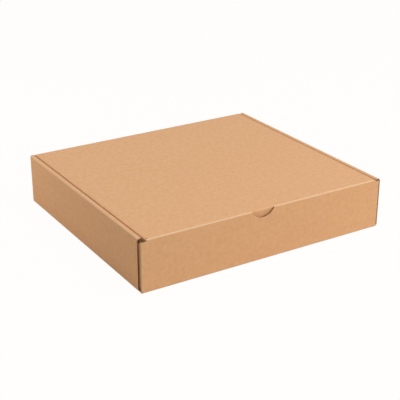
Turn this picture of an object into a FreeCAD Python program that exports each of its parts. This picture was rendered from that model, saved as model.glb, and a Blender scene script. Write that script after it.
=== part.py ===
import FreeCAD, Part
import math
import os

# A corrugated mailer box, folded from one die-cut sheet of thin fluted board, shown closed.
# Millimetres. +X is to the right of the front wall, +Y to the back, +Z up.
# The origin is the middle of the underside.
# The sheet is written as two nodes, split only at the crease that the lid swings on.

# Outside of the closed box
WIDTH = 300.0
DEPTH = 270.0
HEIGHT = 57.5

# The board and its creases
BOARD = 1.5
CREASE_INNER_RADIUS = 0.3
LAYER_GAP = 0.3

# Rolled side walls: outer panel, top strip and inner panel round the corner flaps
LEFT_FRONT_SETBACK = 8.0
LEFT_STRIP_SETBACK = 6.5
RIGHT_FRONT_SETBACK = 0.6
RIGHT_STRIP_SETBACK = 1.1
SIDE_BACK_SETBACK = 1.0
INNER_END_CLEARANCE = 0.8
INNER_FOOT_GAP = 0.2
CORNER_LEDGE = 1.8

# Tabs at the foot of each inner panel, and their slots in the base
TAB_LENGTH = 36.0
TAB_SPACING = 140.0
TAB_LIFT = 0.3
SLOT_CLEARANCE = 0.25
SLOT_END_CLEARANCE = 1.0

# Flaps at the ends of the front and back walls, folded into the side walls
CORNER_FLAP_LENGTH = 50.0
CORNER_FLAP_DROP = 4.0
CORNER_FLAP_STEP = 4.0
CORNER_FLAP_FOOT = 0.4
CORNER_FLAP_CHAMFER = 8.0
LEFT_CORNER_BULGE = 1.8
LEFT_CORNER_RETURN = 3.0

# Half-moon for the thumb in the top edge of the front wall
NOTCH_CHORD = 28.0
NOTCH_DEPTH = 8.8
NOTCH_OFFSET = -7.0
WALL_END_SLOPE = 1.6
LEFT_WALL_REACH = 1.5

# The lid, its side flaps and its tuck flap
LID_SIDE_CLEARANCE = 0.9
LID_FRONT_CLEARANCE = 0.3
HINGE_GAP = 0.2
EAR_RISE = 0.9
EAR_CLEARANCE = 0.3
SIDE_FLAP_DEPTH = 36.0
SIDE_FLAP_END_SETBACK = 2.2
SIDE_FLAP_TAPER = 12.0
SIDE_FLAP_CORNER = 12.0
TUCK_DEPTH = 40.0
TUCK_END_SETBACK = 0.6
TUCK_TAPER = 3.0
TUCK_CORNER = 18.0

# Worked out from the sizes above
FOLD = BOARD + CREASE_INNER_RADIUS
HALF_WIDTH = WIDTH / 2
HALF_DEPTH = DEPTH / 2
ROLL_WIDTH = 3 * BOARD + 2 * LAYER_GAP
INNER_PANEL_OUTSIDE = HALF_WIDTH - ROLL_WIDTH + BOARD
INNER_PANEL_INSIDE = HALF_WIDTH - ROLL_WIDTH
CORNER_FLAP_OUTSIDE = HALF_WIDTH - BOARD - LAYER_GAP
WALL_HALF_LENGTH = CORNER_FLAP_OUTSIDE - FOLD
FRONT_LEFT_LENGTH = WALL_HALF_LENGTH + LEFT_CORNER_BULGE
WALL_END_TOP = HEIGHT - CORNER_LEDGE
LID_HALF_WIDTH = INNER_PANEL_INSIDE - LID_SIDE_CLEARANCE
LID_FLAT_HALF_WIDTH = LID_HALF_WIDTH - FOLD
LID_REACH = DEPTH - BOARD - LID_FRONT_CLEARANCE
HINGE_GAP_ANGLE = math.degrees(math.asin(HINGE_GAP / 2 / FOLD))


def point(plane, u, v, w):
    """A point from its two coordinates in a plane and its distance w along the third axis."""
    if plane == "xz":
        return FreeCAD.Vector(u, w, v)
    if plane == "yz":
        return FreeCAD.Vector(w, u, v)
    return FreeCAD.Vector(u, v, w)


def block(x, y, z):
    """A box between the two limits given for each axis."""
    size = [high - low for low, high in (x, y, z)]
    return Part.makeBox(size[0], size[1], size[2], FreeCAD.Vector(x[0], y[0], z[0]))


def bent_board(plane, centre, angles, along):
    """The board where it is creased: part of a ring about the centre, between two angles."""
    start = math.radians(angles[0])
    end = math.radians(angles[1])
    middle = (start + end) / 2

    def at(radius, angle):
        u = centre[0] + radius * math.cos(angle)
        v = centre[1] + radius * math.sin(angle)
        return point(plane, u, v, along[0])

    outer = Part.Arc(at(FOLD, start), at(FOLD, middle), at(FOLD, end)).toShape()
    inner_radius = CREASE_INNER_RADIUS
    inner = Part.Arc(at(inner_radius, end), at(inner_radius, middle), at(inner_radius, start)).toShape()
    first = Part.makeLine(at(FOLD, end), at(inner_radius, end))
    last = Part.makeLine(at(inner_radius, start), at(FOLD, start))
    face = Part.Face(Part.Wire([outer, first, inner, last]))
    return face.extrude(point(plane, 0, 0, along[1] - along[0]))


def rounded_panel(plane, corners, along):
    """A flat panel from its corners, each (u, v, corner radius), as thick as along says."""
    edges = []
    count = len(corners)
    cuts = []
    for i, (u, v, radius) in enumerate(corners):
        here = FreeCAD.Vector(u, v, 0)
        before = FreeCAD.Vector(*corners[i - 1][:2], 0).sub(here).normalize()
        after = FreeCAD.Vector(*corners[(i + 1) % count][:2], 0).sub(here).normalize()
        half = before.getAngle(after) / 2
        reach = radius / math.tan(half)
        bisector = before.add(after).normalize()
        centre = here.add(bisector * (radius / math.sin(half)))
        middle = centre.sub(bisector * radius)
        cuts.append((here.add(before * reach), middle, here.add(after * reach), radius))
    for i, (start, middle, end, radius) in enumerate(cuts):
        if radius > 0:
            ends = [point(plane, p.x, p.y, along[0]) for p in (start, middle, end)]
            edges.append(Part.Arc(*ends).toShape())
        follow = cuts[(i + 1) % count][0]
        edges.append(Part.makeLine(point(plane, end.x, end.y, along[0]), point(plane, follow.x, follow.y, along[0])))
    face = Part.Face(Part.Wire(edges))
    return face.extrude(point(plane, 0, 0, along[1] - along[0]))


def mirrored(shapes):
    """Left-hand shapes turned into right-hand ones."""
    mirror_point = FreeCAD.Vector(0, 0, 0)
    mirror_normal = FreeCAD.Vector(1, 0, 0)
    return [shape.mirror(mirror_point, mirror_normal) for shape in shapes]


def both_sides(shapes):
    """The left-hand shapes with their mirror images on the right."""
    return shapes + mirrored(shapes)


def one_solid(shapes):
    """All the shapes joined, with the seams between flush faces taken out."""
    joined = shapes[0].fuse(shapes[1:]).removeSplitter()
    if len(joined.Solids) == 1:
        return joined.Solids[0]
    return joined


def tab_middles():
    """How far back the middle of each tab lies."""
    return [-TAB_SPACING / 2, TAB_SPACING / 2]


def base():
    """The base panel with a slot for each tab of the inner side panels."""
    flat_x = HALF_WIDTH - FOLD
    flat_y = HALF_DEPTH - FOLD
    panel = block((-flat_x, flat_x), (-flat_y, flat_y), (0, BOARD))
    slots = []
    half_slot = TAB_LENGTH / 2 + SLOT_END_CLEARANCE
    slot_outside = INNER_PANEL_OUTSIDE + SLOT_CLEARANCE
    slot_inside = INNER_PANEL_INSIDE - SLOT_CLEARANCE
    for middle in tab_middles():
        ends = (middle - half_slot, middle + half_slot)
        slots.append(block((-slot_outside, -slot_inside), ends, (-BOARD, 2 * BOARD)))
    return panel.cut(both_sides(slots))


def side_roll(front_setback, strip_setback):
    """The left side wall: up from the base, over the top strip and down inside."""
    wall_y = (-HALF_DEPTH + front_setback, HALF_DEPTH - SIDE_BACK_SETBACK)
    strip_y = (-HALF_DEPTH + strip_setback, wall_y[1])
    inner_y = (strip_y[0], HALF_DEPTH - BOARD - INNER_END_CLEARANCE)
    foot_y = (-HALF_DEPTH + FOLD, HALF_DEPTH - FOLD)
    outside = -HALF_WIDTH
    shoulder = outside + FOLD
    inner_shoulder = -INNER_PANEL_INSIDE - FOLD
    wall_z = (FOLD, HEIGHT - FOLD)
    foot_z = BOARD + INNER_FOOT_GAP
    pieces = [
        bent_board("xz", (shoulder, FOLD), (180, 270), foot_y),
        block((outside, outside + BOARD), wall_y, wall_z),
        bent_board("xz", (shoulder, HEIGHT - FOLD), (90, 180), strip_y),
        block((shoulder, inner_shoulder), strip_y, (HEIGHT - BOARD, HEIGHT)),
        bent_board("xz", (inner_shoulder, HEIGHT - FOLD), (0, 90), strip_y),
        block((-INNER_PANEL_OUTSIDE, -INNER_PANEL_INSIDE), inner_y, (foot_z, HEIGHT - FOLD)),
    ]
    for middle in tab_middles():
        ends = (middle - TAB_LENGTH / 2, middle + TAB_LENGTH / 2)
        pieces.append(block((-INNER_PANEL_OUTSIDE, -INNER_PANEL_INSIDE), ends, (TAB_LIFT, foot_z)))
    return pieces


def corner_flap(side):
    """A left-hand corner flap and its crease, at the front for side -1 and the back for side 1."""
    crease = side * (HALF_DEPTH - FOLD)
    angles = (180, 270) if side < 0 else (90, 180)
    foot = BOARD + CORNER_FLAP_FOOT
    top = HEIGHT - FOLD - CORNER_FLAP_DROP
    inward = -side
    tip = crease + inward * CORNER_FLAP_LENGTH
    chamfer_start = tip - inward * CORNER_FLAP_CHAMFER
    outline = [
        (crease, foot, 0),
        (chamfer_start, foot, 0),
        (tip, foot + CORNER_FLAP_CHAMFER, 0),
        (tip, top - CORNER_FLAP_CHAMFER, 0),
        (chamfer_start, top, 0),
        (crease + inward * CORNER_FLAP_STEP, top, 0),
        (crease, WALL_END_TOP, 0),
    ]
    across = (-CORNER_FLAP_OUTSIDE, -CORNER_FLAP_OUTSIDE + BOARD)
    bend = bent_board("xy", (-WALL_HALF_LENGTH, crease), angles, (foot, WALL_END_TOP))
    return [bend, rounded_panel("yz", outline, across)]


def front_left_corner():
    """The front corner flap on the left: it bulges out at its crease and slants back into the roll."""
    crease = -HALF_DEPTH + FOLD
    slant_end = crease + LEFT_CORNER_RETURN
    foot = BOARD + CORNER_FLAP_FOOT
    top = HEIGHT - FOLD - CORNER_FLAP_DROP
    tip = crease + CORNER_FLAP_LENGTH
    chamfer_start = tip - CORNER_FLAP_CHAMFER
    outside = -CORNER_FLAP_OUTSIDE
    bulged = outside - LEFT_CORNER_BULGE
    slant = [
        (bulged, crease, 0),
        (bulged + BOARD, crease, 0),
        (outside + BOARD, slant_end, 0),
        (outside, slant_end, 0),
    ]
    outline = [
        (slant_end, foot, 0),
        (chamfer_start, foot, 0),
        (tip, foot + CORNER_FLAP_CHAMFER, 0),
        (tip, top - CORNER_FLAP_CHAMFER, 0),
        (chamfer_start, top, 0),
        (slant_end, top, 0),
    ]
    return [
        bent_board("xy", (-FRONT_LEFT_LENGTH, crease), (180, 270), (foot, WALL_END_TOP)),
        rounded_panel("xy", slant, (foot, top)),
        rounded_panel("yz", outline, (outside, outside + BOARD)),
    ]


def front_wall():
    """The front wall, lower beside the side rolls, with the thumb's half-moon cut out."""
    right_end = LID_FLAT_HALF_WIDTH
    left_end = LID_FLAT_HALF_WIDTH + LEFT_WALL_REACH
    outline = [
        (-FRONT_LEFT_LENGTH, FOLD, 0),
        (WALL_HALF_LENGTH, FOLD, 0),
        (WALL_HALF_LENGTH, WALL_END_TOP, 0),
        (right_end + WALL_END_SLOPE, WALL_END_TOP, 0),
        (right_end, HEIGHT, 0),
        (-left_end, HEIGHT, 0),
        (-left_end - WALL_END_SLOPE, WALL_END_TOP, 0),
        (-FRONT_LEFT_LENGTH, WALL_END_TOP, 0),
    ]
    wall = rounded_panel("xz", outline, (-HALF_DEPTH, -HALF_DEPTH + BOARD))
    radius = (NOTCH_CHORD ** 2 / 4 + NOTCH_DEPTH ** 2) / (2 * NOTCH_DEPTH)
    centre = FreeCAD.Vector(NOTCH_OFFSET, -HALF_DEPTH - BOARD, HEIGHT - NOTCH_DEPTH + radius)
    cutter = Part.makeCylinder(radius, 3 * BOARD, centre, FreeCAD.Vector(0, 1, 0))
    foot_along = (-HALF_WIDTH + FOLD, HALF_WIDTH - FOLD)
    foot = bent_board("yz", (-HALF_DEPTH + FOLD, FOLD), (180, 270), foot_along)
    return [wall.cut(cutter), foot]


def back_wall():
    """The back wall, a low ear beside each end of the lid, and its half of the lid's crease."""
    along = (-WALL_HALF_LENGTH, WALL_HALF_LENGTH)
    hinge_along = (-LID_FLAT_HALF_WIDTH, LID_FLAT_HALF_WIDTH)
    crease = HALF_DEPTH - FOLD
    ear_along = (-INNER_PANEL_INSIDE + EAR_CLEARANCE, -LID_FLAT_HALF_WIDTH - EAR_CLEARANCE)
    ear = block(ear_along, (HALF_DEPTH - BOARD, HALF_DEPTH), (HEIGHT - FOLD, HEIGHT - FOLD + EAR_RISE))
    return both_sides([ear]) + [
        bent_board("yz", (crease, FOLD), (270, 360), along),
        block(along, (HALF_DEPTH - BOARD, HALF_DEPTH), (FOLD, HEIGHT - FOLD)),
        bent_board("yz", (crease, HEIGHT - FOLD), (0, 45 - HINGE_GAP_ANGLE), hinge_along),
    ]


def tray():
    """The open tray: base, four walls, rolled sides and the corner flaps inside them."""
    rolls = side_roll(LEFT_FRONT_SETBACK, LEFT_STRIP_SETBACK)
    rolls += mirrored(side_roll(RIGHT_FRONT_SETBACK, RIGHT_STRIP_SETBACK))
    corners = front_left_corner() + mirrored(corner_flap(-1)) + both_sides(corner_flap(1))
    return one_solid([base()] + front_wall() + back_wall() + rolls + corners)


def side_flap():
    """The lid's left side flap and its crease, standing just inside the side roll."""
    crease = HEIGHT - FOLD
    end = HALF_DEPTH - SIDE_FLAP_END_SETBACK
    foot = crease - SIDE_FLAP_DEPTH
    foot_end = end - SIDE_FLAP_TAPER
    outline = [
        (-end, crease, 0),
        (-foot_end, foot, SIDE_FLAP_CORNER),
        (foot_end, foot, SIDE_FLAP_CORNER),
        (end, crease, 0),
    ]
    bend = bent_board("xz", (-LID_FLAT_HALF_WIDTH, crease), (90, 180), (-end, end))
    panel = rounded_panel("yz", outline, (-LID_HALF_WIDTH, -LID_HALF_WIDTH + BOARD))
    return [bend, panel]


def tuck_flap():
    """The flap at the lid's front edge, leaning in so that it swings clear of the front wall."""
    crease_y = HALF_DEPTH - LID_REACH + FOLD
    crease_z = HEIGHT - FOLD
    reach_down = FOLD + TUCK_DEPTH
    drop_back = LID_REACH - math.sqrt(LID_REACH ** 2 - reach_down ** 2)
    lean = math.degrees(math.asin(drop_back / TUCK_DEPTH))
    half = LID_FLAT_HALF_WIDTH - TUCK_END_SETBACK
    foot_half = half - TUCK_TAPER
    outline = [
        (-half, crease_z, 0),
        (-foot_half, crease_z - TUCK_DEPTH, TUCK_CORNER),
        (foot_half, crease_z - TUCK_DEPTH, TUCK_CORNER),
        (half, crease_z, 0),
    ]
    outside = crease_y - FOLD
    panel = rounded_panel("xz", outline, (outside, outside + BOARD))
    panel.rotate(FreeCAD.Vector(0, crease_y, crease_z), FreeCAD.Vector(1, 0, 0), lean)
    bend = bent_board("yz", (crease_y, crease_z), (90, 180 + lean), (-half, half))
    return [bend, panel]


def lid():
    """The lid: its top panel, its half of the hinge crease, two side flaps and the tuck flap."""
    along = (-LID_FLAT_HALF_WIDTH, LID_FLAT_HALF_WIDTH)
    back_crease = HALF_DEPTH - FOLD
    front_crease = HALF_DEPTH - LID_REACH + FOLD
    top = block(along, (front_crease, back_crease), (HEIGHT - BOARD, HEIGHT))
    hinge = bent_board("yz", (back_crease, HEIGHT - FOLD), (45 + HINGE_GAP_ANGLE, 90), along)
    return one_solid([top, hinge] + tuck_flap() + both_sides(side_flap()))


def write(name, shape):
    """Writes one node and prints what it measures."""
    shape.exportStep(os.path.join("parts", name + ".step"))
    box = shape.BoundBox
    print(name, "valid", shape.isValid(), "solids", len(shape.Solids), "faces", len(shape.Faces))
    print("  volume %.0f mm3, %.1f x %.1f x %.1f" % (shape.Volume, box.XLength, box.YLength, box.ZLength))


os.makedirs("parts", exist_ok=True)
write("tray", tray())
write("lid", lid())
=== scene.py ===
# %% [markdown]
# A kraft mailer box
#
# The real object is one sheet of thin corrugated board. A steel rule die cuts it to an outline, presses
# a crease wherever it has to bend, and the packer folds it by hand: two side walls rolled over twice, a
# front and a back wall, and a lid that tucks in behind the front wall.
#
# Such a box could be modelled panel by panel. Here the flat blank is drawn first and then folded by a
# formula, because each point then keeps its place on the blank. The flutes, the paper fibres and the
# bare cut edges all follow the sheet round every fold, as they do on the real board.

# %% Load the frame that the box has to fit
import math

import bmesh
import bpy
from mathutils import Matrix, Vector


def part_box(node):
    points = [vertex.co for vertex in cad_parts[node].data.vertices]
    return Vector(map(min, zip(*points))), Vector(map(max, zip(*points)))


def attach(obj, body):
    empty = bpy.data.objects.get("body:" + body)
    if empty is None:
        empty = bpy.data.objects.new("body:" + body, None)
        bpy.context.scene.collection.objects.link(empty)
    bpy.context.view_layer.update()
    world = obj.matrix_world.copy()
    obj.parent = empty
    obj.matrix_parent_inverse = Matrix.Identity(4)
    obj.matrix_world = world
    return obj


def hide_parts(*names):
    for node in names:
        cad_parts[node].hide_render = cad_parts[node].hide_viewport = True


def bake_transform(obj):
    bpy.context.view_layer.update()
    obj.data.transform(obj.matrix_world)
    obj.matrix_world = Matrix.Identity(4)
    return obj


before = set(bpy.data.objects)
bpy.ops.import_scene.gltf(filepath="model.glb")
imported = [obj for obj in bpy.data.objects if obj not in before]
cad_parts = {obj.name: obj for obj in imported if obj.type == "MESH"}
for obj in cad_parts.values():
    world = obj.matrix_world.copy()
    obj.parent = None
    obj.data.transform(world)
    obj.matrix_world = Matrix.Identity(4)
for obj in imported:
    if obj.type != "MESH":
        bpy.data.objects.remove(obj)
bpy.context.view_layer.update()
MM = 0.001

low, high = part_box("tray")
WIDTH = (high[0] - low[0]) / MM
DEPTH = (high[1] - low[1]) / MM
HEIGHT = (high[2] - low[2]) / MM
print("closed box %.1f x %.1f x %.1f mm" % (WIDTH, DEPTH, HEIGHT))

# %% [markdown]
# The board and its creases
#
# Thin fluted board, called E flute, is 1.5 mm thick: two flat papers, the liners, with a wavy one
# between them. It can't make a sharp corner. Along a crease it bends in a tight quarter round, and the
# length of board that such a bend uses is measured along the middle of its thickness.

# %% Sizes of the board, in millimetres
BOARD = 1.5
INNER_RADIUS = 0.3
LAYER_GAP = 0.3
FLUTE_PITCH = 3.3

FOLD = BOARD + INNER_RADIUS
MIDDLE_RADIUS = INNER_RADIUS + BOARD / 2
BEND = MIDDLE_RADIUS * math.pi / 2
print("one right-angled bend uses %.2f mm of board" % BEND)

# %% [markdown]
# Where the creases lie on the blank
#
# The blank has two directions: across, from the left side to the right, and along, from the top of the
# front wall to the tip of the lid's tuck flap. Every crease position is the last one plus a panel plus
# a bend, so a changed panel moves all that lies beyond it.

# %% Crease positions across the blank
HALF_WIDTH = WIDTH / 2
HALF_DEPTH = DEPTH / 2
ROLL_WIDTH = 3 * BOARD + 2 * LAYER_GAP
WALL_RISE = HEIGHT - 2 * FOLD
INNER_FOOT_GAP = 0.2
TAB_LIFT = 0.3

SIDE_CREASE = HALF_WIDTH - FOLD
STRIP_CREASE = SIDE_CREASE + BEND + WALL_RISE
INNER_CREASE = STRIP_CREASE + BEND + ROLL_WIDTH - 2 * FOLD
INNER_FOOT = INNER_CREASE + BEND + HEIGHT - FOLD - BOARD - INNER_FOOT_GAP
TAB_TIP = INNER_FOOT + BOARD + INNER_FOOT_GAP - TAB_LIFT
CORNER_CREASE = HALF_WIDTH - BOARD - LAYER_GAP - FOLD
print("half the blank across: %.0f mm" % TAB_TIP)

# %% Crease positions along the blank
LID_SIDE_CLEARANCE = 0.9
LID_FRONT_CLEARANCE = 0.3
SIDE_FLAP_DEPTH = 36.0
TUCK_DEPTH = 40.0

LID_CREASE = HALF_WIDTH - ROLL_WIDTH - LID_SIDE_CLEARANCE - FOLD
LID_REACH = DEPTH - BOARD - LID_FRONT_CLEARANCE
WALL_CREASE = HALF_DEPTH - FOLD
HINGE_CREASE = WALL_CREASE + BEND + WALL_RISE
LID_START = HINGE_CREASE + BEND
TUCK_CREASE = LID_START + LID_REACH - 2 * FOLD

# The tuck flap leans in a little, so that it swings clear of the front wall.
reach_down = FOLD + TUCK_DEPTH
drop_back = LID_REACH - math.sqrt(LID_REACH**2 - reach_down**2)
TUCK_ANGLE = math.pi / 2 + math.asin(drop_back / TUCK_DEPTH)
TUCK_START = TUCK_CREASE + MIDDLE_RADIUS * TUCK_ANGLE
print("tuck flap folds by %.1f degrees" % math.degrees(TUCK_ANGLE))

# %% [markdown]
# The outlines of the panels
#
# Each panel is a flat outline on the blank, written as corner points. Rounded corners and the thumb's
# half-moon are worked out as arcs. A boolean cut could make them too, but an outline drawn with them
# keeps clean faces right up to the cut.

# %% Helpers for the outlines
ARC_STEPS = 10


def arc_points(centre, radius, start, end, steps):
    """Points on an arc, from one angle to another in radians."""
    points = []
    for i in range(steps + 1):
        angle = start + (end - start) * i / steps
        points.append((centre[0] + radius * math.cos(angle), centre[1] + radius * math.sin(angle)))
    return points


def rounded(before, corner, after, radius):
    """The arc that takes off a corner between two neighbouring points."""
    corner = Vector(corner)
    first = (Vector(before) - corner).normalized()
    second = (Vector(after) - corner).normalized()
    half = first.angle(second) / 2
    centre = corner + (first + second).normalized() * radius / math.sin(half)
    start = corner + first * radius / math.tan(half) - centre
    end = corner + second * radius / math.tan(half) - centre
    turn = start.angle_signed(end)
    points = []
    for i in range(ARC_STEPS + 1):
        angle = math.atan2(start.y, start.x) - turn * i / ARC_STEPS
        points.append((centre.x + radius * math.cos(angle), centre.y + radius * math.sin(angle)))
    return points


def rectangle(across, along):
    """The four corners of a panel between two limits each way."""
    return [(across[0], along[0]), (across[1], along[0]), (across[1], along[1]), (across[0], along[1])]


def mirror(outlines):
    """Outlines of the right-hand side turned into left-hand ones."""
    return [[(-x, y) for x, y in reversed(outline)] for outline in outlines]


def mirrored(outlines):
    """The outlines of the right-hand side, with their mirror images on the left."""
    return outlines + mirror(outlines)


# %% Base and rolled side walls
# How far from the box's front and back each side wall ends. The strip is the part along its top.
LEFT_FRONT_SETBACK = 8.0
LEFT_STRIP_SETBACK = 6.5
RIGHT_FRONT_SETBACK = 0.6
RIGHT_STRIP_SETBACK = 1.1
SIDE_BACK_SETBACK = 1.0
INNER_END_CLEARANCE = 0.8
TAB_LENGTH = 36.0
TAB_SPACING = 140.0

LEFT_FRONT = -HALF_DEPTH + LEFT_FRONT_SETBACK
LEFT_STRIP_FRONT = -HALF_DEPTH + LEFT_STRIP_SETBACK
RIGHT_FRONT = -HALF_DEPTH + RIGHT_FRONT_SETBACK
RIGHT_STRIP_FRONT = -HALF_DEPTH + RIGHT_STRIP_SETBACK
SIDE_BACK = HALF_DEPTH - SIDE_BACK_SETBACK
INNER_BACK = HALF_DEPTH - BOARD - INNER_END_CLEARANCE
tab_middles = [-TAB_SPACING / 2, TAB_SPACING / 2]

base_outline = rectangle((-SIDE_CREASE, SIDE_CREASE), (-WALL_CREASE, WALL_CREASE))


def side_outlines(front, strip_front):
    """A right-hand side wall from its foot to its tabs; front and strip_front are where it starts."""
    outlines = [
        rectangle((SIDE_CREASE, SIDE_CREASE + BEND), (-WALL_CREASE, WALL_CREASE)),
        rectangle((SIDE_CREASE + BEND, STRIP_CREASE), (front, SIDE_BACK)),
        rectangle((STRIP_CREASE, INNER_CREASE + BEND), (strip_front, SIDE_BACK)),
        rectangle((INNER_CREASE + BEND, INNER_FOOT), (strip_front, INNER_BACK)),
    ]
    for middle in tab_middles:
        tab = (middle - TAB_LENGTH / 2, middle + TAB_LENGTH / 2)
        outlines.append(rectangle((INNER_FOOT, TAB_TIP), tab))
    return outlines


sides = side_outlines(RIGHT_FRONT, RIGHT_STRIP_FRONT)
sides += mirror(side_outlines(LEFT_FRONT, LEFT_STRIP_FRONT))
print(len(sides), "panels in the side walls")

# %% Slots in the base for the tabs
SLOT_CLEARANCE = 0.25
SLOT_END_CLEARANCE = 1.0
slot_across = (
    HALF_WIDTH - ROLL_WIDTH - SLOT_CLEARANCE,
    HALF_WIDTH - ROLL_WIDTH + BOARD + SLOT_CLEARANCE,
)
half_slot = TAB_LENGTH / 2 + SLOT_END_CLEARANCE
slots = [(slot_across, (middle - half_slot, middle + half_slot)) for middle in tab_middles]
print("slots %.1f mm wide" % (slot_across[1] - slot_across[0]))

# %% Front wall with the thumb's half-moon
NOTCH_CHORD = 28.0
NOTCH_DEPTH = 8.8
NOTCH_OFFSET = -7.0
NOTCH_STEPS = 24
CORNER_LEDGE = 1.8
WALL_END_SLOPE = 1.6
LEFT_WALL_REACH = 1.5
LEFT_CORNER_BULGE = 1.8
LEFT_CORNER_RETURN = 3.0
BEND_ROWS = 10

front_foot = -(WALL_CREASE + BEND)
left_corner_crease = CORNER_CREASE + LEFT_CORNER_BULGE


def front_along(height):
    """Where a height on the front wall lies along the blank."""
    return front_foot - (height - FOLD)


wall_top = front_along(HEIGHT)
ledge_top = front_along(HEIGHT - CORNER_LEDGE)
right_end = LID_CREASE
left_end = LID_CREASE + LEFT_WALL_REACH
notch_radius = (NOTCH_CHORD**2 / 4 + NOTCH_DEPTH**2) / (2 * NOTCH_DEPTH)
notch_centre = (NOTCH_OFFSET, wall_top - notch_radius + NOTCH_DEPTH)
notch_half_angle = math.asin(NOTCH_CHORD / 2 / notch_radius)
notch_ends = (math.pi / 2 + notch_half_angle, math.pi / 2 - notch_half_angle)
notch = arc_points(notch_centre, notch_radius, *notch_ends, NOTCH_STEPS)
# On the left the wall's foot runs on to the side of the box, one row of faces short of the base.
left_foot_end = -WALL_CREASE - BEND / BEND_ROWS
front_outlines = [
    rectangle((-SIDE_CREASE, SIDE_CREASE), (front_foot, -WALL_CREASE)),
    rectangle((-SIDE_CREASE - BEND, -SIDE_CREASE), (front_foot, left_foot_end)),
    [(CORNER_CREASE, front_foot), (-left_corner_crease, front_foot), (-left_corner_crease, ledge_top)]
    + [(-left_end - WALL_END_SLOPE, ledge_top), (-left_end, wall_top)]
    + notch
    + [(right_end, wall_top), (right_end + WALL_END_SLOPE, ledge_top), (CORNER_CREASE, ledge_top)],
]
print("thumb notch radius %.1f mm" % notch_radius)

# %% Back wall, up to the crease that the lid swings on
HINGE_STRIP_REACH = 3.0
EAR_RISE = 0.9
EAR_CLEARANCE = 0.3
ear = (LID_CREASE + EAR_CLEARANCE, HALF_WIDTH - ROLL_WIDTH - EAR_CLEARANCE)
back_foot = WALL_CREASE + BEND
strip_start = HINGE_CREASE - HINGE_STRIP_REACH
strip_end = LID_START + HINGE_STRIP_REACH
back_outlines = [
    rectangle((-CORNER_CREASE, CORNER_CREASE), (WALL_CREASE, back_foot)),
    rectangle((-CORNER_CREASE, CORNER_CREASE), (back_foot, strip_start)),
]
back_outlines += mirrored(
    [
        rectangle((LID_CREASE, CORNER_CREASE), (strip_start, HINGE_CREASE)),
        rectangle(ear, (HINGE_CREASE, HINGE_CREASE + EAR_RISE)),
    ]
)
hinge_outlines = [rectangle((-LID_CREASE, LID_CREASE), (strip_start, strip_end))]
print("hinge strip is %.1f mm of board" % (strip_end - strip_start))

# %% Corner flaps, folded into the side walls
CORNER_FLAP_LENGTH = 50.0
CORNER_FLAP_DROP = 4.0
CORNER_FLAP_STEP = 4.0
CORNER_FLAP_FOOT = 0.4
CORNER_FLAP_CHAMFER = 8.0
flap_foot = BOARD + CORNER_FLAP_FOOT


def corner_flap(start, place):
    """A right-hand corner flap and its bend; place turns a height into a position on the blank."""
    crease = start + BEND
    tip = crease + CORNER_FLAP_LENGTH
    cut = tip - CORNER_FLAP_CHAMFER
    top = HEIGHT - FOLD - CORNER_FLAP_DROP
    ledge = HEIGHT - CORNER_LEDGE
    bend = [(start, flap_foot), (crease, flap_foot), (crease, ledge), (start, ledge)]
    flap = [(crease, flap_foot), (cut, flap_foot), (tip, flap_foot + CORNER_FLAP_CHAMFER)]
    flap += [(tip, top - CORNER_FLAP_CHAMFER), (cut, top)]
    flap += [(crease + CORNER_FLAP_STEP, top), (crease, ledge)]
    return [[(x, place(z)) for x, z in outline] for outline in (bend, flap)]


def back_along(height):
    """Where a height on the back wall lies along the blank."""
    return -front_along(height)


corner_outlines = corner_flap(CORNER_CREASE, front_along)
corner_outlines += mirror(corner_flap(left_corner_crease, front_along))
corner_outlines += mirrored(corner_flap(CORNER_CREASE, back_along))
print(len(corner_outlines), "outlines in the corner flaps")

# %% Lid, its side flaps and its tuck flap
SIDE_FLAP_END_SETBACK = 2.2
SIDE_FLAP_TAPER = 12.0
SIDE_FLAP_CORNER = 12.0
TUCK_END_SETBACK = 0.6
TUCK_TAPER = 3.0
TUCK_CORNER = 18.0


def lid_along(depth):
    """Where a depth on the closed lid, from the box's middle to the back, lies along the blank."""
    return LID_START + (HALF_DEPTH - FOLD - depth)


flap_end = HALF_DEPTH - SIDE_FLAP_END_SETBACK
flap_ends = (lid_along(flap_end), lid_along(-flap_end))
flap_root = LID_CREASE + BEND
flap_tip = flap_root + SIDE_FLAP_DEPTH
flap_corners = [(flap_root, flap_ends[0]), (flap_tip, flap_ends[0] + SIDE_FLAP_TAPER)]
flap_corners += [(flap_tip, flap_ends[1] - SIDE_FLAP_TAPER), (flap_root, flap_ends[1])]
side_flap = [flap_corners[0]]
side_flap += rounded(*flap_corners[0:3], SIDE_FLAP_CORNER)
side_flap += rounded(*flap_corners[1:4], SIDE_FLAP_CORNER)
side_flap += [flap_corners[3]]

tuck_half = LID_CREASE - TUCK_END_SETBACK
tuck_tip = TUCK_START + TUCK_DEPTH
tuck_corners = [(tuck_half, TUCK_START), (tuck_half - TUCK_TAPER, tuck_tip)]
tuck_corners += [(-tuck_half + TUCK_TAPER, tuck_tip), (-tuck_half, TUCK_START)]
tuck_flap = [tuck_corners[0]]
tuck_flap += rounded(*tuck_corners[0:3], TUCK_CORNER)
tuck_flap += rounded(*tuck_corners[1:4], TUCK_CORNER)
tuck_flap += [tuck_corners[3]]
lid_outlines = [
    rectangle((-LID_CREASE, LID_CREASE), (strip_end, TUCK_CREASE)),
    rectangle((-tuck_half, tuck_half), (TUCK_CREASE, TUCK_START)),
    tuck_flap,
] + mirrored([rectangle((LID_CREASE, flap_root), flap_ends), side_flap])
print(len(lid_outlines), "outlines in the lid")

# %% [markdown]
# From outlines to a net of small faces
#
# A bend needs several rows of faces across it, or it would stay a sharp edge. A panel needs a loose
# grid, so that it can bow. Straight cuts through the whole flat blank give both, and because every cut
# runs right across, neighbouring panels always meet point to point.

# %% Helpers for the cuts
GRID = 12.0
SHOULDER = 0.35
RETURN_ROWS = 6


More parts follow.
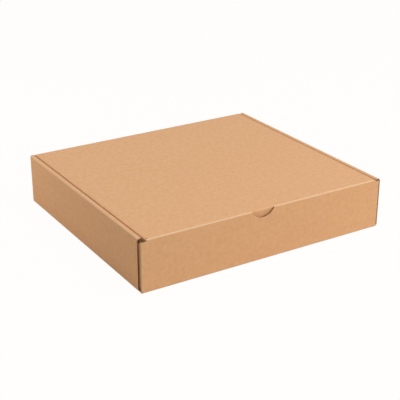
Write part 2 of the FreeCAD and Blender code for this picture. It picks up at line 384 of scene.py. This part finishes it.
def bend_cuts(start, length):
    """Cuts through a bend, with one more close on each side where the flat panel begins."""
    rows = [start + length * i / BEND_ROWS for i in range(BEND_ROWS + 1)]
    return [start - SHOULDER] + rows + [start + length + SHOULDER]


def grid_cuts(start, end):
    """Even cuts through a panel, about one grid step apart."""
    count = max(1, round((end - start) / GRID))
    return [start + (end - start) * i / count for i in range(count + 1)]


# %% Where the blank is cut across
half_cuts = []
for crease in (SIDE_CREASE, STRIP_CREASE, INNER_CREASE, CORNER_CREASE, LID_CREASE):
    half_cuts += bend_cuts(crease, BEND)
half_cuts += grid_cuts(0, LID_CREASE) + grid_cuts(SIDE_CREASE + BEND, STRIP_CREASE)
half_cuts += grid_cuts(INNER_CREASE + BEND, INNER_FOOT) + [*slot_across, *ear]
half_cuts += [left_end, left_end + WALL_END_SLOPE, right_end + WALL_END_SLOPE]
flap_start = left_corner_crease + BEND
half_cuts += [flap_start + LEFT_CORNER_RETURN * (i + 1) / RETURN_ROWS for i in range(RETURN_ROWS)]
cuts_across = sorted(half_cuts + [-cut for cut in half_cuts])
print(len(cuts_across), "cuts across")

# %% Where the blank is cut along
cuts_along = bend_cuts(-WALL_CREASE - BEND, BEND) + bend_cuts(WALL_CREASE, BEND)
cuts_along += bend_cuts(HINGE_CREASE, BEND) + bend_cuts(TUCK_CREASE, TUCK_START - TUCK_CREASE)
cuts_along += grid_cuts(wall_top, front_foot) + grid_cuts(-WALL_CREASE, WALL_CREASE)
cuts_along += grid_cuts(back_foot, HINGE_CREASE) + grid_cuts(strip_end, TUCK_CREASE)
cuts_along += grid_cuts(TUCK_START, tuck_tip) + [ledge_top, INNER_BACK, SIDE_BACK]
cuts_along += [LEFT_FRONT, LEFT_STRIP_FRONT, RIGHT_FRONT, RIGHT_STRIP_FRONT]
cuts_along += [front_along(flap_foot), back_along(flap_foot)]
cuts_along += [strip_start, *flap_ends] + [end for slot in slots for end in slot[1]]
for middle in tab_middles:
    cuts_along += [middle - TAB_LENGTH / 2, middle + TAB_LENGTH / 2]
print(len(cuts_along), "cuts along")

# %% Draw and cut the flat blank
CUT_TOLERANCE = 0.0005
WELD = 0.002


def flat_blank(outlines, holes=()):
    """A flat mesh of the outlines, cut into rows, with the holes left out."""
    blank = bmesh.new()
    for outline in outlines:
        blank.faces.new([blank.verts.new((x, y, 0)) for x, y in outline])
    bmesh.ops.remove_doubles(blank, verts=blank.verts[:], dist=WELD)
    for axis, cuts in ((0, cuts_across), (1, cuts_along)):
        normal = Vector((1 - axis, axis, 0))
        for cut in sorted(set(round(c, 4) for c in cuts)):
            everything = blank.verts[:] + blank.edges[:] + blank.faces[:]
            bmesh.ops.bisect_plane(
                blank, geom=everything, dist=CUT_TOLERANCE, plane_co=normal * cut, plane_no=normal
            )
    bmesh.ops.remove_doubles(blank, verts=blank.verts[:], dist=WELD)
    inside = []
    for face in blank.faces:
        middle = face.calc_center_median()
        for across, along in holes:
            if across[0] < abs(middle.x) < across[1] and along[0] < middle.y < along[1]:
                inside.append(face)
    bmesh.ops.delete(blank, geom=inside, context="FACES")
    bmesh.ops.recalc_face_normals(blank, faces=blank.faces[:])
    for face in blank.faces:
        if face.normal.z < 0:
            face.normal_flip()
    return blank


# %% [markdown]
# Folding by a formula
#
# A crease turns all that lies beyond it about a line just above the sheet. Points inside the bend are
# rolled round that line, and points past it are turned as a whole. Taking the creases of a panel from
# the outermost to the innermost folds a whole chain, such as base, outer wall, strip and inner wall.
#
# The upright corner creases are knocked in use, so their outer liner is crushed nearly square. A curve
# between a circle and a square, called a superellipse, gives that with one number for its sharpness.

# %% The fold of one crease
CORNER_SHARPNESS = 6.0


def crushed(turned, height):
    """How much further out than a round bend a corner crease reaches, on its outer side alone."""
    if height > 0:
        return 1.0
    n = CORNER_SHARPNESS
    return (math.cos(turned) ** n + math.sin(turned) ** n) ** (-1 / n)


def fold(point, axis, start, angle):
    """A point (across, along, height) folded up about a crease that starts so far from the middle."""
    side = 1 if point[axis] > 0 else -1
    beyond = point[axis] * side - start
    if beyond <= 0:
        return point
    length = MIDDLE_RADIUS * angle
    turned = min(beyond, length) / MIDDLE_RADIUS
    rest = max(0, beyond - length)
    radius = MIDDLE_RADIUS - point[2]
    if start in (CORNER_CREASE, left_corner_crease):
        radius *= crushed(turned, point[2])
    folded = list(point)
    folded[axis] = side * (start + radius * math.sin(turned) + rest * math.cos(turned))
    folded[2] = MIDDLE_RADIUS - radius * math.cos(turned) + rest * math.sin(turned)
    return folded


# %% The creases of each part of the blank
RIGHT_ANGLE = math.pi / 2
ACROSS, ALONG = 0, 1
FOOT_FOLD = (ALONG, WALL_CREASE, RIGHT_ANGLE)
HINGE_FOLD = (ALONG, HINGE_CREASE, RIGHT_ANGLE)
TUCK_FOLD = (ALONG, TUCK_CREASE, TUCK_ANGLE)
LID_FOLD = (ACROSS, LID_CREASE, RIGHT_ANGLE)
SIDE_FOLDS = [(ACROSS, crease, RIGHT_ANGLE) for crease in (INNER_CREASE, STRIP_CREASE, SIDE_CREASE)]


def creases_for(across, along):
    """The creases that a point of the blank passes, outermost first."""
    out = abs(across)
    # The left end of the front wall's foot lies beside the base, so it comes before the side walls.
    if across < 0 and front_foot - WELD <= along < -WALL_CREASE - WELD:
        return [FOOT_FOLD]
    if out > SIDE_CREASE and RIGHT_FRONT - WELD <= along <= SIDE_BACK + WELD:
        return SIDE_FOLDS
    if along < front_foot - WELD:
        corner = CORNER_CREASE if across > 0 else left_corner_crease
        return [(ACROSS, corner, RIGHT_ANGLE), FOOT_FOLD]
    if along < -WALL_CREASE:
        return [FOOT_FOLD]
    # The ears beside the lid's crease stay upright.
    if out > LID_CREASE + WELD and HINGE_CREASE + WELD < along < LID_START:
        return [FOOT_FOLD]
    if along > HINGE_CREASE + WELD:
        return [TUCK_FOLD, LID_FOLD, HINGE_FOLD, FOOT_FOLD]
    if along > WALL_CREASE:
        return [(ACROSS, CORNER_CREASE, RIGHT_ANGLE), HINGE_FOLD, FOOT_FOLD]
    return []


# %% [markdown]
# The left front corner and the pale bends, partly painted highlight
#
# On this box the left front corner stands out, flush with the side, and the flap behind it slants back
# into the side wall. The outer liner is painted paler over a bend: partly the real paling of paper
# stretched there, partly a painted highlight where the rounded bend turns to the light, and on the corner
# that stands out it lightens the shade of its rim. That shows on the side walls, along the foot and the
# hinge, and on the corner that stands out. The other bends stay plain.

# %% How far the corner slants back, and how pale each bend is painted, partly as a painted highlight
STRETCH_AND_HIGHLIGHT_REACH = 0.7
PLAIN_BENDS = (INNER_CREASE, LID_CREASE, TUCK_CREASE, CORNER_CREASE)


def slanted_back(across, along, point):
    """The left front corner stands out; the flap behind it slants back smoothly into the side wall."""
    if along < front_foot - WELD and across < -left_corner_crease:
        share = min(max((point[1] + WALL_CREASE) / LEFT_CORNER_RETURN, 0), 1)
        point[0] += LEFT_CORNER_BULGE * share * share * (3 - 2 * share)
    return point


def stretch_and_highlight_amount(across, along):
    """How far inside a bend painted pale, partly as a painted highlight, a point lies: 1 at its middle, 0
    on flat panels.
    """
    most = 0
    for axis, start, angle in creases_for(across, along):
        if start not in PLAIN_BENDS:
            place = (abs((across, along)[axis]) - start) / (MIDDLE_RADIUS * angle)
            most = max(most, 1 - abs(place - 0.5) / STRETCH_AND_HIGHLIGHT_REACH)
    return most


# %% [markdown]
# Panels that bow
#
# No sheet of board stays perfectly flat. The lid of a closed mailer stands a few tenths of a
# millimetre proud in its middle, and its back wall bulges a little. A half sine each way does that,
# and it is zero along the creases, so that nothing opens there.

# %% How far each point of a panel bows
LID_BOW = 0.5
WALL_BOW = 0.35


def half_sine(value, start, end):
    """A smooth hump between two limits, 0 outside them."""
    place = (value - start) / (end - start)
    return math.sin(math.pi * place) if 0 < place < 1 else 0


def bow(across, along):
    """How far outwards, in millimetres, a point of the blank bows."""
    across_lid = half_sine(across, -LID_CREASE, LID_CREASE)
    across_wall = half_sine(across, -CORNER_CREASE, CORNER_CREASE)
    lid_bow = LID_BOW * across_lid * half_sine(along, strip_end, TUCK_CREASE)
    wall_bow = WALL_BOW * across_wall * half_sine(along, back_foot, strip_start)
    return lid_bow + wall_bow


# %% [markdown]
# The pressed top of the front wall and its painted highlight
#
# The lid's tuck flap rubs over the top of the front wall whenever the box is shut. Its outer corner is
# pressed down a little, and its cut edge is painted as one pale band: a painted highlight where the
# light falls on the upward-facing edge, without the painted shade of the flute hollows.

# %% How far the outer corner of the front wall's top is pressed down, in millimetres
EDGE_WEAR = 0.6


def pressed_and_highlit(across, along):
    """1 on the top edge of the front wall, pressed and given a painted highlight, 0 elsewhere."""
    return 1.0 if along < wall_top + WELD else 0.0


# %% [markdown]
# From a flat net to board with a thickness
#
# Every point of the flat net is folded twice, once for the outer liner and once for the inner one. The
# faces between the two sheets, all along the net's border, are the bare cut edges. Blender's Solidify
# modifier could thicken one folded sheet, but the materials also need each point's height within the
# board, and here it is known.

# %% The two liners and the cut edges
LINER, CUT_EDGE = 0, 1


def folded_point(across, along, height):
    """Where a point of the blank ends up on the closed box, in metres."""
    pressed = EDGE_WEAR * pressed_and_highlit(across, along) if height < 0 else 0.0
    point = [across, along + pressed, height - bow(across, along)]
    for axis, start, angle in creases_for(across, along):
        point = fold(point, axis, start, angle)
    point = slanted_back(across, along, point)
    return Vector((point[0], point[1], point[2] + BOARD / 2)) * MM


def board_faces(blank):
    """The faces of both liners and of the cut edges, each with the number of its material."""
    count = len(blank.verts)
    faces = []
    for face in blank.faces:
        ring = [vert.index for vert in face.verts]
        faces += [(ring[::-1], LINER), ([count + i for i in ring], LINER)]
    for edge in blank.edges:
        if edge.is_boundary:
            loop = edge.link_loops[0]
            first = loop.vert.index
            second = loop.link_loop_next.vert.index
            faces.append(([first, second, count + second, count + first], CUT_EDGE))
    return faces


def finished_mesh(mesh):
    """Smooth liners with a sharp border at every cut edge, as an object in the scene."""
    edit = bmesh.new()
    edit.from_mesh(mesh)
    for face in edit.faces:
        face.smooth = True
    for edge in edit.edges:
        edge.smooth = {face.material_index for face in edge.link_faces} == {LINER}
    edit.to_mesh(mesh)
    edit.free()
    piece = bpy.data.objects.new(mesh.name, mesh)
    bpy.context.scene.collection.objects.link(piece)
    return piece


# %% One closed piece of folded board
def folded_piece(name, outlines, holes=()):
    """A piece of the box, with each point's place on the blank kept for the materials."""
    blank = flat_blank(outlines, holes)
    blank.verts.index_update()
    places = [(v.co.x, v.co.y, height) for height in (-BOARD / 2, BOARD / 2) for v in blank.verts]
    faces = board_faces(blank)
    blank.free()
    mesh = bpy.data.meshes.new(name)
    mesh.from_pydata([folded_point(*place) for place in places], [], [ring for ring, slot in faces])
    mesh.polygons.foreach_set("material_index", [slot for ring, slot in faces])
    kept = mesh.attributes.new("blank", "FLOAT_VECTOR", "POINT")
    kept.data.foreach_set("vector", [value * MM for place in places for value in place])
    # Two marks kept for the colours: bends painted pale, partly as a painted highlight, and the front
    # wall's top edge, pressed and given a painted highlight.
    for label, measure in (("bend", stretch_and_highlight_amount), ("pressed_and_highlit", pressed_and_highlit)):
        kept = mesh.attributes.new(label, "FLOAT", "POINT")
        kept.data.foreach_set("value", [measure(across, along) for across, along, height in places])
    return finished_mesh(mesh)


# %% [markdown]
# Three pieces from one sheet
#
# The real sheet is one piece. The lid has to swing, so it is a piece of its own, and so is a narrow
# strip of board along the crease between them. The strip has the full thickness of the board and
# meets the other two face to face.

# %% Fold the tray, the lid and the hinge strip
tray = folded_piece(
    "tray_board",
    [base_outline] + sides + front_outlines + back_outlines + corner_outlines,
    slots,
)
lid = folded_piece("lid_board", lid_outlines)
hinge = folded_piece("lid_crease", hinge_outlines)
for piece in (tray, lid, hinge):
    print(piece.name, len(piece.data.polygons), "faces")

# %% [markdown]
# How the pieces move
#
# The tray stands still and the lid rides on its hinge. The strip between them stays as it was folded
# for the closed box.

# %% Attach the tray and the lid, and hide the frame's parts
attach(tray, "tray")
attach(lid, "lid")
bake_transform(hinge)
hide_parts("tray")
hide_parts("lid")

# %% [markdown]
# Helpers for the materials
#
# Colours are written as the hex values that an eye would pick from a picture, and one function turns
# them to the linear values that the renderer works in. Another adds a node with its settings and links.

# %% Colour and node helpers
def linear(hex_colour):
    """An sRGB hex colour as linear red, green, blue and alpha."""
    values = [int(hex_colour[i : i + 2], 16) / 255 for i in (1, 3, 5)]
    return tuple(v / 12.92 if v <= 0.04045 else ((v + 0.055) / 1.055) ** 2.4 for v in values) + (1.0,)


def add_node(tree, kind, inputs=None, **settings):
    """A new node: settings are its properties, inputs are values or the sockets that feed it."""
    node = tree.nodes.new("ShaderNode" + kind)
    for name, value in settings.items():
        setattr(node, name, value)
    for name, value in (inputs or {}).items():
        if isinstance(value, bpy.types.NodeSocket):
            tree.links.new(value, node.inputs[name])
        else:
            node.inputs[name].default_value = value
    return node


def calculate(tree, operation, *values):
    """The result of one Math node."""
    return add_node(tree, "Math", dict(enumerate(values)), operation=operation).outputs[0]


def new_material(name):
    """An empty material and its node tree."""
    material = bpy.data.materials.new(name)
    material.use_nodes = True
    material.node_tree.nodes.clear()
    return material, material.node_tree


def blank_coordinates(tree):
    """A point's place on the blank in metres, the wave of the flutes there, and its height alone."""
    place = add_node(tree, "Attribute", attribute_name="blank").outputs["Vector"]
    parts = add_node(tree, "SeparateXYZ", {"Vector": place}).outputs
    turns = calculate(tree, "MULTIPLY", parts["X"], 2 * math.pi / (FLUTE_PITCH * MM))
    return place, calculate(tree, "SINE", turns), parts["Z"]


def noise(tree, place, size, detail, roughness=0.5):
    """A noise pattern with features of a size in metres."""
    inputs = {"Vector": place, "Scale": 1 / size, "Detail": detail, "Roughness": roughness}
    return add_node(tree, "TexNoise", inputs).outputs[0]


def spread(tree, value, lowest, highest):
    """A value stretched so that lowest becomes 0 and highest becomes 1."""
    inputs = {"Value": value, "From Min": lowest, "From Max": highest}
    return add_node(tree, "MapRange", inputs).outputs[0]


def mixed(tree, share, first, second):
    """A mix of two colours; share is how much of the second."""
    return add_node(tree, "MixRGB", {"Fac": share, "Color1": first, "Color2": second}).outputs[0]


# %% [markdown]
# Kraft liner
#
# The liners are unbleached kraft paper, made from long softwood fibres and pressed smooth on rollers.
# Such paper scatters light widely and has almost no gloss. The eye sees a warm light brown with three
# patterns: a cloudiness of a few millimetres where the fibres settled unevenly, single fibres, lighter
# or darker, and now and then a dark fleck of bark. The flutes show through as very faint lines.

# %% Kraft liner: scales in metres
CLOUD_SIZE = 5 * MM
# Real fibres are 3 to 4 mm long and 0.03 mm wide. They are drawn wider, or they would not show.
FIBRE_LENGTH = 4 * MM
FIBRE_WIDTH = 0.4 * MM
# Two sets of fibres cross, each with its angle in radians and its seed.
FIBRE_SETS = ((0.3, 0.0), (1.9, 7.0))
FLECK_SIZE = 1.1 * MM
KRAFT = "#DCAB7F"
KRAFT_LIGHT = "#E1B288"
KRAFT_DARK = "#D6A274"
# Paler kraft for bends: partly the paling of stretched paper, partly a painted highlight.
KRAFT_STRETCHED_AND_HIGHLIT = "#E9C39C"
FLECK = "#A87B50"
# How much each pattern counts in the shade, and how strongly flecks and the pale bends, partly a painted
# highlight, are coloured.
CLOUD_SHARE = 0.45
FIBRE_SHARE = 0.55
FLUTE_SHARE = 0.02
FLECK_AMOUNT = 0.6
STRETCH_AND_HIGHLIGHT_AMOUNT = 0.5
# Noise keeps near 0.5. Clouds use most of its range, and flecks only its rare peaks.
CLOUD_RANGE = (0.3, 0.7)
FIBRE_RANGE = (0.75, 1.25)
FLECK_RANGE = (0.74, 0.8)
KRAFT_ROUGHNESS = 0.82
KRAFT_SPECULAR = 0.3
PAPER_IOR = 1.45
RELIEF_STRENGTH = 0.12
RELIEF_DEPTH = 0.05 * MM
RELIEF_OF_FLUTES = 0.5


def fibre_pattern(tree, place, turn, seed):
    """Streaks as long and as thin as fibres, turned by an angle in the plane of the sheet."""
    turned = add_node(tree, "VectorRotate", {"Vector": place, "Angle": turn}, rotation_type="Z_AXIS")
    scale = (1 / FIBRE_WIDTH, 1 / FIBRE_LENGTH, 1 / FIBRE_LENGTH)
    inputs = {"Vector": turned.outputs[0], "Scale": scale, "Location": (seed, 0, 0)}
    stretched = add_node(tree, "Mapping", inputs).outputs[0]
    return noise(tree, stretched, size=1.0, detail=2.0)


def shade_ramp(tree, shade):
    """Dark, plain and light kraft for a shade from 0 to 1."""
    ramp = add_node(tree, "ValToRGB", {"Fac": shade})
    stops = ramp.color_ramp.elements
    stops[0].color = linear(KRAFT_DARK)
    stops[0].position = 0.1
    stops[1].color = linear(KRAFT_LIGHT)
    stops[1].position = 0.9
    stops.new(0.5).color = linear(KRAFT)
    return ramp.outputs[0]


# %% Kraft liner: the material
def kraft_liner():
    """Unbleached kraft paper over thin flutes, pressed smooth."""
    material, tree = new_material("kraft_liner")
    place, flute, height = blank_coordinates(tree)
    clouds = spread(tree, noise(tree, place, CLOUD_SIZE, detail=3.0, roughness=0.6), *CLOUD_RANGE)
    both_sets = [fibre_pattern(tree, place, turn, seed) for turn, seed in FIBRE_SETS]
    fibres = spread(tree, calculate(tree, "ADD", *both_sets), *FIBRE_RANGE)
    shade = calculate(tree, "MULTIPLY", fibres, FIBRE_SHARE)
    shade = calculate(tree, "MULTIPLY_ADD", clouds, CLOUD_SHARE, shade)
    shade = calculate(tree, "MULTIPLY_ADD", flute, FLUTE_SHARE, shade)
    colour = shade_ramp(tree, shade)

    flecks = spread(tree, noise(tree, place, FLECK_SIZE, detail=1.0), *FLECK_RANGE)
    colour = mixed(tree, calculate(tree, "MULTIPLY", flecks, FLECK_AMOUNT), colour, linear(FLECK))
    # Bends painted paler on their outer side: partly stretched paper, partly a painted highlight.
    bend = add_node(tree, "Attribute", attribute_name="bend").outputs["Fac"]
    outside = calculate(tree, "LESS_THAN", height, 0.0)
    stretched = calculate(tree, "MULTIPLY", calculate(tree, "MULTIPLY", bend, outside), STRETCH_AND_HIGHLIGHT_AMOUNT)
    colour = mixed(tree, stretched, colour, linear(KRAFT_STRETCHED_AND_HIGHLIT))

    relief = calculate(tree, "MULTIPLY_ADD", flute, RELIEF_OF_FLUTES, fibres)
    relief_inputs = {"Height": relief, "Strength": RELIEF_STRENGTH, "Distance": RELIEF_DEPTH}
    shader_inputs = {
        "Base Color": colour,
        "Roughness": KRAFT_ROUGHNESS,
        "IOR": PAPER_IOR,
        "Specular IOR Level": KRAFT_SPECULAR,
        "Normal": add_node(tree, "Bump", relief_inputs).outputs[0],
    }
    shader = add_node(tree, "BsdfPrincipled", shader_inputs)
    add_node(tree, "OutputMaterial", {"Surface": shader.outputs[0]})
    return material


# %% [markdown]
# Bare cut edge
#
# Where the die has cut the board, the edge shows what it is made of: two thin liners with a wavy paper
# between them, and air in the waves, painted dark as painted shade inside the hollows. The wave is drawn
# from each point's place across the blank, so it shows as a wave where the cut crosses the flutes and as
# a straight line where it runs along them.

# %% Bare cut edge: the wave between the liners
LINER_THICKNESS = 0.22 * MM
# The wavy paper reaches this far to each side of its middle.
WAVE_HALF_THICKNESS = 0.13 * MM
EDGE_GRAIN = 1.5 * MM
EDGE_PAPER = "#C49566"
# Painted shade standing for the hollows of the flutes.
EDGE_HOLLOW_SHADE = "#4A2E16"
# A painted highlight on the upward-facing top edge of the front wall.
EDGE_HIGHLIGHT = "#E9C6A0"
# Shares of the paper's own colour and of its grain, and how far the top edge's painted highlight hides
# both.
PAPER_SHARE = 0.8
GRAIN_SHARE = 0.3
EDGE_HIGHLIGHT_SHARE = 0.9
EDGE_ROUGHNESS = 0.95
EDGE_SPECULAR = 0.2


def bare_edge():
    """The cut edge of fluted board: papers light, air between them painted dark as painted shade."""
    material, tree = new_material("fluted_board_edge")
    place, flute, height = blank_coordinates(tree)
    swing = BOARD * MM / 2 - LINER_THICKNESS
    from_wave = calculate(tree, "ABSOLUTE", calculate(tree, "MULTIPLY_ADD", flute, -swing, height))
    wave = calculate(tree, "LESS_THAN", from_wave, WAVE_HALF_THICKNESS)
    liner = calculate(tree, "GREATER_THAN", calculate(tree, "ABSOLUTE", height), swing)
    grain = calculate(tree, "MULTIPLY", noise(tree, place, EDGE_GRAIN, detail=2.0), GRAIN_SHARE)
    paper = calculate(tree, "MULTIPLY_ADD", calculate(tree, "MAXIMUM", wave, liner), PAPER_SHARE, grain)
    # The papers keep their colour, and the hollows between them get painted shade.
    colour = mixed(tree, paper, linear(EDGE_HOLLOW_SHADE), linear(EDGE_PAPER))
    # The front wall's top edge gets a painted highlight over the cut edge.
    highlit_edge = add_node(tree, "Attribute", attribute_name="pressed_and_highlit").outputs["Fac"]
    colour = mixed(tree, calculate(tree, "MULTIPLY", highlit_edge, EDGE_HIGHLIGHT_SHARE), colour, linear(EDGE_HIGHLIGHT))
    shader_inputs = {
        "Base Color": colour,
        "Roughness": EDGE_ROUGHNESS,
        "IOR": PAPER_IOR,
        "Specular IOR Level": EDGE_SPECULAR,
    }
    shader = add_node(tree, "BsdfPrincipled", shader_inputs)
    add_node(tree, "OutputMaterial", {"Surface": shader.outputs[0]})
    return material


# %% Dress the board
liner_material = kraft_liner()
edge_material = bare_edge()
for piece in (tray, lid, hinge):
    piece.data.materials.append(liner_material)
    piece.data.materials.append(edge_material)
print("materials:", [material.name for material in tray.data.materials])

# %% [markdown]
# Floor and backdrop
#
# The floor is a pale matt sheet. What the camera sees of it is mostly plain white, with a twentieth of
# its real shading left in, so that the box still has a soft shadow to stand in.

# %% Pale floor
FLOOR_SIZE = 12.0
FLOOR_SHADING = 0.05
FLOOR_PAPER = "#D3CCBF"
BACKDROP_WHITE = "#FFFEFD"
# A little over 1, because the floor's own shading, mixed in, is darker.
BACKDROP_STRENGTH = 1.02


def seen_directly(tree):
    """1 for what the camera sees, straight or in a gloss or through glass, and 0 for other light."""
    rays = add_node(tree, "LightPath").outputs
    seen = calculate(tree, "MAXIMUM", rays["Is Camera Ray"], rays["Is Glossy Ray"])
    return calculate(tree, "MAXIMUM", seen, rays["Is Transmission Ray"])


def pale_floor():
    """Matt near-white paper that looks white to the camera and keeps part of its shading."""
    material, tree = new_material("pale_floor")
    matt = add_node(tree, "BsdfDiffuse", {"Color": linear(FLOOR_PAPER)})
    white_inputs = {"Color": linear(BACKDROP_WHITE), "Strength": BACKDROP_STRENGTH}
    white = add_node(tree, "Emission", white_inputs)
    share = calculate(tree, "MULTIPLY", seen_directly(tree), 1 - FLOOR_SHADING)
    mix = add_node(tree, "MixShader", {0: share, 1: matt.outputs[0], 2: white.outputs[0]})
    add_node(tree, "OutputMaterial", {"Surface": mix.outputs[0]})
    return material


floor_mesh = bpy.data.meshes.new("floor")
floor_limits = (-FLOOR_SIZE / 2, FLOOR_SIZE / 2)
floor_corners = [(x, y, 0) for x, y in rectangle(floor_limits, floor_limits)]
floor_mesh.from_pydata(floor_corners, [], [(0, 1, 2, 3)])
floor_mesh.materials.append(pale_floor())
floor = bpy.data.objects.new("floor", floor_mesh)
bpy.context.scene.collection.objects.link(floor)
print("floor", FLOOR_SIZE, "m")

# %% [markdown]
# Light
#
# The box stands in a bright, even studio. The lid is lightest, the front a little darker and the left
# side darkest. So the main lamp is large, above and in front, a little to the right, and the world
# fills in the rest. A low lamp on the right brightens the front wall towards its right end, and a
# small low one behind on the left does the same for the left side towards the back.

# %% World and lamps: places and sizes in metres, powers in watts
WORLD_STRENGTH = 0.3
WARM_WHITE = "#FFF5E8"
WARMER_WHITE = "#FFF4E8"


def add_lamp(name, place, size, power, colour="#FFFFFF"):
    """A square area lamp that looks at the box."""
    light = bpy.data.lights.new(name, "AREA")
    light.size = size
    light.energy = power
    light.color = linear(colour)[:3]
    lamp = bpy.data.objects.new(name, light)
    lamp.location = place
    lamp.rotation_euler = (-Vector(place)).to_track_quat("-Z", "Y").to_euler()
    bpy.context.scene.collection.objects.link(lamp)


world = bpy.data.worlds.new("studio")
bpy.context.scene.world = world
world.use_nodes = True
world.node_tree.nodes.clear()
sky = world.node_tree
strength = calculate(sky, "MULTIPLY_ADD", seen_directly(sky), 1 - WORLD_STRENGTH, WORLD_STRENGTH)
background = add_node(sky, "Background", {"Color": linear(BACKDROP_WHITE), "Strength": strength})
add_node(sky, "OutputWorld", {"Surface": background.outputs[0]})
add_lamp("key_lamp", (0.35, -1.0, 2.25), 1.8, 45.1)
add_lamp("right_lamp", (1.0, -0.75, 0.25), 0.5, 4.9, WARM_WHITE)
add_lamp("left_lamp", (-0.54, 0.74, 0.15), 0.25, 3.0, WARMER_WHITE)
print("world strength", WORLD_STRENGTH)

# %% [markdown]
# Camera
#
# The photograph is taken from the front left and a little above. Its angles, distance and lens are
# worked out from the corners and the long edges of the box that it shows.

# %% Camera at the photograph's angle: distance in metres, lens and sensor in millimetres
CAMERA_AZIMUTH = math.radians(-31.73)
CAMERA_ELEVATION = math.radians(23.56)
CAMERA_DISTANCE = 1.1327
LENS = 88.97
SENSOR_WIDTH = 36.0
AIM_RIGHT = -0.04 * MM
AIM_UP = -11.46 * MM

back = Vector(
    (
        math.sin(CAMERA_AZIMUTH) * math.cos(CAMERA_ELEVATION),
        -math.cos(CAMERA_AZIMUTH) * math.cos(CAMERA_ELEVATION),
        math.sin(CAMERA_ELEVATION),
    )
)
right = Vector((math.cos(CAMERA_AZIMUTH), math.sin(CAMERA_AZIMUTH), 0))
up = back.cross(right)
aim = Vector((0, 0, HEIGHT * MM / 2)) + right * AIM_RIGHT + up * AIM_UP
camera_data = bpy.data.cameras.new("camera")
camera_data.lens = LENS
camera_data.sensor_width = SENSOR_WIDTH
camera = bpy.data.objects.new("camera", camera_data)
camera.location = aim + back * CAMERA_DISTANCE
camera.rotation_euler = (-back).to_track_quat("-Z", "Y").to_euler()
bpy.context.scene.collection.objects.link(camera)
bpy.context.scene.camera = camera
bpy.context.scene.view_settings.view_transform = "Standard"
print("camera at", tuple(round(v, 3) for v in camera.location))
